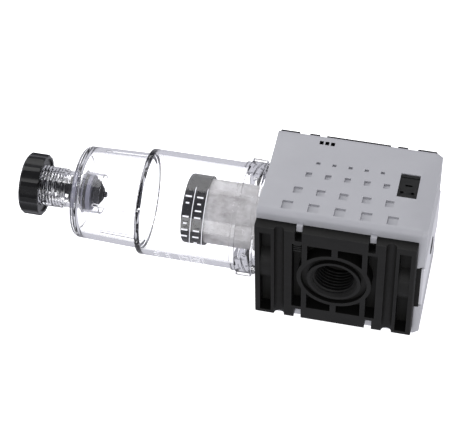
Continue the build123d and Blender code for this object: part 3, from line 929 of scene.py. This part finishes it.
@dataclass
class FilterStack:
    """Deflector, porous element, seals, core and baffle cap. Sizes in millimetres."""

    finishes: Finishes
    rows: int = 110
    steps: int = 150
    bore: float = 10.6
    grain_rise: float = 0.10
    grain_size: float = 0.9
    fine_grain_size: float = 0.4

    def build(self) -> None:
        """Build and dress the stack."""
        self._element()
        for node, width, material, slot in (
            ("element_cap", 0.25, self.finishes.inner, "internal_black"),
            ("deflector", 0.12, self.finishes.inner, "internal_black"),
        ):
            piece = softened(node, width)
            self.finishes.dress(piece, material)
            place_piece(piece, "housing")
        for node in ("element_upper_seal", "element_lower_seal"):
            self.finishes.dress_node(node, self.finishes.rubber)
        self.finishes.dress_node("element_core", self.finishes.core)
        self.finishes.dress_node("tie_rod", self.finishes.inner)

    def _element(self) -> None:
        """The porous element: a thick tube whose outside is uneven with fused grains."""
        low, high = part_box("filter_element")
        radius = (high.y - low.y) / 2 / MM
        first, last = low.x / MM, high.x / MM
        outside = [(first + (last - first) * row / self.rows, radius - self.grain_rise) for row in range(self.rows + 1)]
        tube = turned("filter_element_porous", outside + [(last, self.bore), (first, self.bore)], self.steps)
        for vertex in tube.data.vertices:
            distance, _ = polar(vertex.co)
            if distance < (self.bore + radius) / 2 * MM:
                continue
            coarse = noise.noise(vertex.co / (self.grain_size * MM))
            fine = noise.noise(vertex.co / (self.fine_grain_size * MM))
            rise = max(-1.0, min(1.0, coarse + 0.5 * fine))
            set_radius(vertex.co, distance + rise * self.grain_rise * MM)
        shade(tube)
        self.finishes.dress(tube, self.finishes.sintered)
        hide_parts("filter_element")
        place_piece(tube, "housing")


# ---------------------------------------------------------------- bowl


@dataclass
class Bowl:
    """The clear bowl with its bayonet neck, grips, drain boss and moulded marks.

    Sizes are in millimetres and arcs in degrees. A pair is (x, radius) for step and inner_boss, low and high x
    for lug, grip and rib, and first and last angle for ring_arc. groove and collar are (x, x, radius). Each row
    of ticks is (x, length, arc).
    """

    finishes: Finishes
    steps: int = 160
    neck_end: float = -19.0
    neck_radius: float = 22.6
    neck_bore: float = 19.4
    groove: Place = (-25.9, -22.9, 20.9)
    collar: Place = (-40.7, -49.0, 27.2)
    step: Point = (-51.5, 26.6)
    upper_radius: float = 25.9
    shoulder: float = -98.0
    lower_radius: float = 23.4
    bottom_radius: float = 22.4
    bottom: float = -131.3
    bottom_corner: float = 3.4
    wall: float = 2.4
    boss_end: float = -151.4
    thread_crest: float = 9.85
    thread_root: float = 8.95
    thread_pitch: float = 1.5
    thread_end: float = -137.6
    boss_bore: float = 7.0
    lip_bore: float = 4.2
    lip: float = 1.2
    seat_low: float = -130.2
    seat_bore: float = 8.9
    inner_boss: Point = (-119.7, 9.8)
    floor: float = -128.6
    floor_corner: float = 3.2
    lug: Point = (-33.35, -29.15)
    lug_radius: float = 24.8
    lug_arc: float = 30.0
    grip: Point = (-49.0, -42.2)
    grip_radius: float = 28.4
    grip_middle: float = 40.0
    grip_arc: float = 17.3
    rib: Point = (-120.0, -97.5)
    rib_middle: float = 147.6
    rib_arc: float = 3.7
    block_corner: float = 0.35
    mark_rise: float = 0.10
    mark_root: float = 0.05
    ring_marks: Tuple[float, ...] = (-64.7, -70.5, -76.0)
    ring_width: float = 0.32
    ring_arc: Point = (108.0, 238.0)
    tick_rows: Tuple[Place, ...] = ((-67.6, 3.0, 1.6), (-73.2, 3.0, 1.7), (-82.0, 1.8, 1.1), (-87.5, 2.4, 1.0))
    tick_count: int = 16
    first_tick: float = 118.0
    tick_pitch: float = 7.2
    short_tick: float = 0.55

    def build(self) -> None:
        """Build and dress the bowl."""
        shell = self._shell()
        self._thread(shell)
        self._fuse(shell, self._additions())
        shade(shell, Face.CRISP)
        finish_modifier(shell, "WEIGHTED_NORMAL", keep_sharp=True)
        self.finishes.dress(shell, self.finishes.clear)
        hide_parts("bowl")
        place_piece(shell, "bowl")
        self._marks()
        for node in ("bowl_oring", "drain_seat_oring"):
            self.finishes.dress_node(node, self.finishes.rubber)

    def _shell(self) -> bpy.types.Object:
        """Turn the bowl's wall, with every corner rounded as a moulding's is."""
        thread_rows = int((self.thread_end - self.boss_end) / (self.thread_pitch / 10))
        inside = self.upper_radius - self.wall
        corners = [
            (self.neck_end, self.neck_bore, 0.5),
            (self.neck_end, self.neck_radius, 0.7),
            (self.groove[1], self.neck_radius, 0.25),
            (self.groove[1], self.groove[2], 0.3),
            (self.groove[0], self.groove[2], 0.3),
            (self.groove[0], self.neck_radius, 0.25),
            (self.collar[0], self.neck_radius, 0.4),
            (self.collar[0], self.collar[2], 0.6),
            (self.collar[1], self.collar[2], 0.3),
            (self.collar[1], self.step[1], 0.15),
            (self.step[0], self.step[1], 0.35),
            (self.step[0], self.upper_radius, 0.25),
            (self.shoulder, self.upper_radius, 0.8),
            (self.shoulder, self.lower_radius, 0.6),
            (self.bottom, self.bottom_radius, self.bottom_corner),
            (self.bottom, self.thread_root, 0.5),
        ]
        after_thread = [
            (self.boss_end, self.lip_bore, 0.25),
            (self.boss_end + self.lip, self.lip_bore, 0.2),
            (self.boss_end + self.lip, self.boss_bore, 0.3),
            (self.seat_low, self.boss_bore, 0.2),
            (self.seat_low, self.seat_bore, 0.1),
            (self.inner_boss[0], self.seat_bore, 0.2),
            (self.inner_boss[0], self.inner_boss[1], 0.25),
            (self.floor, self.inner_boss[1], 0.8),
            (self.floor, self.bottom_radius - self.wall, self.floor_corner),
            (self.shoulder, self.lower_radius - self.wall, 0.8),
            (self.shoulder + 2.5, inside, 0.8),
            (self.step[0] + 2.0, inside, 2.0),
            (self.collar[0] - 1.0, self.neck_bore, 2.0),
        ]
        whole = corners + [(self.boss_end, self.thread_root, 0.0)] + after_thread
        outline = rounded(whole)
        cut = next(index for index, point in enumerate(outline) if point == (self.boss_end, self.thread_root))
        run = [
            (self.thread_end + (self.boss_end - self.thread_end) * row / thread_rows, self.thread_root)
            for row in range(thread_rows)
        ]
        return turned("bowl_clear_shell", outline[:cut] + run + outline[cut:], self.steps)

    def _thread(self, shell: bpy.types.Object) -> None:
        """Wind the drain boss's outside thread."""
        first, last = self.boss_end * MM, self.thread_end * MM
        fade = 0.7 * self.thread_pitch * MM
        inner_limit = (self.thread_root - 0.2) * MM

        def zone(point: Vector) -> float:
            """Only the boss's outside takes part, and the thread runs out towards the bowl."""
            if point.x > last or polar(point)[0] < inner_limit:
                return 0.0
            return max(0.0, min(1.0, (last - point.x) / fade, (point.x - first) / (0.5 * fade)))

        def lift(x: float, angle: float) -> float:
            """Radius of the outside thread."""
            wave = thread_wave(x / (self.thread_pitch * MM) - angle / (2 * math.pi), 0.1, 0.4)
            return (self.thread_root + (self.thread_crest - self.thread_root) * wave) * MM

        wind_thread(shell, zone, lift)

    def _sectors(self, name: str, outline: Sequence[Point], middle: float, arc: float) -> List[bpy.types.Object]:
        """Four equal raised blocks round the bowl, with their outer edges rounded.

        Args:
            name: the blocks' name.
            outline: their cross-section.
            middle: the first block's middle, in degrees from +Y towards +Z.
            arc: each block's arc in degrees.

        Returns:
            The blocks.
        """
        blocks = []
        for index in range(4):
            first = middle - arc / 2 + index * 90
            block = turned(f"{name}_{index}", outline, max(4, int(arc / 3)), arc, first)
            finish_modifier(
                block,
                "BEVEL",
                width=self.block_corner * MM,
                segments=3,
                limit_method="ANGLE",
                angle_limit=math.radians(50),
            )
            blocks.append(block)
        return blocks

    def _additions(self) -> bpy.types.Object:
        """Bayonet lugs, finger grips and inner ribs, as one set of blocks."""
        wall_inside = self.bottom_radius - self.wall
        lug = box_outline(self.lug, (self.neck_radius - 1.0, self.lug_radius))
        grip = box_outline(self.grip, (self.collar[2] - 1.0, self.grip_radius))
        rib = box_outline(self.rib, (wall_inside - 1.0, wall_inside + 1.0))
        blocks = self._sectors("lug", lug, 0.0, self.lug_arc)
        blocks += self._sectors("grip", grip, self.grip_middle, self.grip_arc)
        blocks += self._sectors("rib", rib, self.rib_middle, self.rib_arc)
        return join("bowl_additions", blocks)

    def _fuse(self, shell: bpy.types.Object, additions: bpy.types.Object) -> None:
        """Fuse the blocks with the wall, so that the clear plastic has no faces inside it."""
        finish_modifier(shell, "BOOLEAN", operation="UNION", solver="EXACT", object=additions, use_self=True)
        bpy.data.objects.remove(additions)
        weld(shell, 2e-6)

    def _marks(self) -> None:
        """Frosted ring lines and level ticks, raised a hair above the wall."""
        radii = (self.upper_radius - self.mark_root, self.upper_radius + self.mark_rise)
        first, last = self.ring_arc
        pieces = []
        for x in self.ring_marks:
            outline = box_outline((x - self.ring_width / 2, x + self.ring_width / 2), radii)
            pieces.append(turned("ring_line", outline, 48, last - first, first))
        for row, (x, length, arc) in enumerate(self.tick_rows):
            for index in range(self.tick_count):
                # Every fifth tick of a row is left out, which breaks the row into groups
                if (index + 2 * row) % 5 == 4:
                    continue
                half = length / 2 * (self.short_tick if index % 3 == 1 else 1.0)
                outline = box_outline((x - half, x + half), radii)
                pieces.append(turned("tick", outline, 3, arc, self.first_tick + index * self.tick_pitch))
        marks = join("bowl_level_marks", pieces)
        self.finishes.dress(marks, self.finishes.frost)
        place_piece(marks, "bowl")


# ---------------------------------------------------------------- drain


@dataclass
class Drain:
    """Knob, stem, cone, piston, seat and spring of the drain."""

    finishes: Finishes

    def build(self) -> None:
        """Dress the drain's pieces."""
        for node, width, material, slot, body in (
            ("drain_knob", 0.22, self.finishes.knob, "knob_black", "drain_knob"),
            ("drain_cone", 0.25, self.finishes.rubber, "seal_rubber", "drain_stem"),
            ("drain_stem", 0.12, self.finishes.inner, "internal_black", "drain_stem"),
            ("drain_piston", 0.15, self.finishes.inner, "internal_black", "drain_stem"),
            ("drain_seat", 0.15, self.finishes.core, "core_grey", "bowl"),
        ):
            piece = softened(node, width)
            self.finishes.dress(piece, material)
            place_piece(piece, body)
        self.finishes.dress_node("piston_oring", self.finishes.rubber)
        self.finishes.dress_node("stem_clip", self.finishes.steel)
        self._spring()

    def _spring(self) -> None:
        """The opening spring between its seat in the bowl and the piston, as a steel copy of its CAD mesh."""
        wire = bpy.data.objects.new("drain_spring_wire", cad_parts["drain_spring"].data.copy())
        bpy.context.scene.collection.objects.link(wire)
        wire.data.materials.clear()
        self.finishes.dress(wire, self.finishes.steel)
        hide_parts("drain_spring")
        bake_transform(wire)
        LOG.info("%s: %d faces, bends from bowl to drain_stem", wire.name, len(wire.data.polygons))


# ---------------------------------------------------------------- studio


@dataclass
class Studio:
    """Floor, lamps, world and camera. Lengths in metres, angles in degrees; a lamp is name, side, watts, place."""

    azimuth: float = 13.805
    elevation: float = 48.515
    roll: float = -1.558
    focal_share: float = 1811.983 / 461
    sensor: float = 36.0
    place: Place = (0.0822, -0.5639, 0.69075)
    aim: Place = (-0.05, 0.0, 0.03)
    lamps: Tuple[Tuple[str, float, float, Place], ...] = (
        ("back_key", 1.1, 8.0, (-0.35, 0.50, 1.20)),
        ("left_fill", 0.6, 7.0, (-1.20, 0.10, 0.62)),
        ("right_low", 0.7, 10.0, (1.20, 0.10, 0.10)),
        ("front_low", 1.0, 10.0, (0.10, -1.40, 0.25)),
    )

    def build(self) -> None:
        """Set up everything round the object."""
        self._floor()
        for name, size, power, place in self.lamps:
            self._lamp(name, size, power, place)
        self._world()
        self._camera()

    def _floor(self) -> None:
        """A wide pale sheet that the module lies on."""
        floor = start("floor", bpy.ops.mesh.primitive_plane_add, size=6.0, location=(0, 0, 0))
        with editing(floor):
            bpy.ops.mesh.select_all(action="SELECT")
            bpy.ops.mesh.subdivide(number_cuts=3)
        floor.data.materials.append(Backdrop("backdrop_paper").build())

    def _lamp(self, name: str, size: float, power: float, place: Place) -> None:
        """A square soft lamp that faces the module.

        Args:
            name: the lamp's name.
            size: its side.
            power: its power in watts.
            place: where it hangs.
        """
        data = bpy.data.lights.new(name, "AREA")
        data.shape = "SQUARE"
        data.size = size
        data.energy = power
        lamp = bpy.data.objects.new(name, data)
        bpy.context.scene.collection.objects.link(lamp)
        lamp.location = place
        lamp.rotation_euler = (Vector(self.aim) - Vector(place)).to_track_quat("-Z", "Y").to_euler()

    def _world(self) -> None:
        """An even pale surround."""
        world = bpy.data.worlds.new("surround")
        world.use_nodes = True
        shade_node = next(node for node in world.node_tree.nodes if node.type == "BACKGROUND")
        shade_node.inputs["Color"].default_value = (0.86, 0.86, 1.0, 1)
        shade_node.inputs["Strength"].default_value = 0.35
        bpy.context.scene.world = world
        bpy.context.scene.view_settings.view_transform = "Standard"

    def _camera(self) -> None:
        """The camera, aimed by its azimuth, elevation and roll."""
        around, above, tilt = (math.radians(angle) for angle in (self.azimuth, self.elevation, self.roll))
        look = Vector((-math.sin(around) * math.cos(above), math.cos(around) * math.cos(above), -math.sin(above)))
        level = look.cross(Vector((0, 0, 1))).normalized()
        upright = level.cross(look)
        right = math.cos(tilt) * level + math.sin(tilt) * upright
        up = -math.sin(tilt) * level + math.cos(tilt) * upright
        data = bpy.data.cameras.new("camera")
        data.sensor_width = self.sensor
        data.sensor_fit = "HORIZONTAL"
        data.lens = self.focal_share * self.sensor
        camera = bpy.data.objects.new("camera", data)
        bpy.context.scene.collection.objects.link(camera)
        turn = Matrix((right, up, -look)).transposed().to_4x4()
        camera.matrix_world = Matrix.Translation(self.place) @ turn
        bpy.context.scene.camera = camera


def main() -> None:
    """Build every sub-assembly in order."""
    logging.basicConfig(level=logging.INFO, format="%(name)s: %(message)s")
    finishes = Finishes()
    for assembly in (Housing(finishes), FilterStack(finishes), Bowl(finishes), Drain(finishes), Studio()):
        LOG.info("building %s", type(assembly).__name__)
        assembly.build()


if __name__ == "__main__":
    main()
